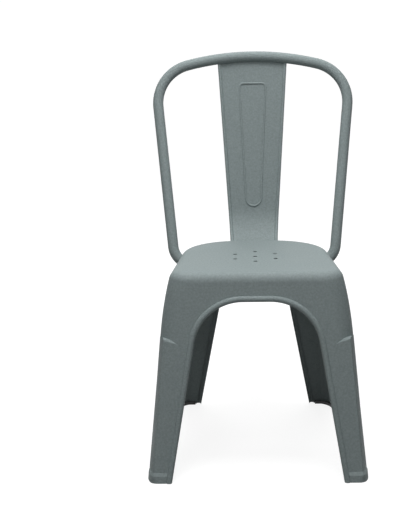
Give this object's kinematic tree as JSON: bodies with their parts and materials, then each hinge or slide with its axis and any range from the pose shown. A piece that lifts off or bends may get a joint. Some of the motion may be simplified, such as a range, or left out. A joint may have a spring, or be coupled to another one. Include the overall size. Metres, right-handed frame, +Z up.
{
  "type": "stacking bistro chair",
  "caption": "Stacking bistro chair of pressed sheet steel: arched splayed legs with beaded edges, a drained seat with a rolled edge, a bent tube back hoop and a central back panel.",
  "frame": {"origin": "on the floor, under the middle of the chair's outline in plan", "axes": "+Z up, -Y towards the front of the chair, X across it"},
  "size_m": [0.4612, 0.5269, 0.8599],
  "materials": {
    "coated_steel": "satin grey powder coat with a fine texture",
    "foot_rubber": "matt black rubber",
    "cap_plastic": "matt black"
  },
  "bodies": {
    "root": {"seat_pan": "coated_steel", "back_hoop": "coated_steel", "back_splat": "coated_steel", "brace_strap_lower": "coated_steel", "brace_strap_upper": "coated_steel", "leg_front_left": "coated_steel", "leg_front_right": "coated_steel", "leg_rear_left": "coated_steel", "leg_rear_right": "coated_steel", "foot_pad_front_left": "foot_rubber", "foot_pad_front_right": "foot_rubber", "foot_pad_rear_left": "foot_rubber", "foot_pad_rear_right": "foot_rubber", "stack_cap_front_left": "cap_plastic", "stack_cap_front_right": "cap_plastic", "stack_cap_rear_left": "cap_plastic", "stack_cap_rear_right": "cap_plastic"}
  },
  "joints": []
}
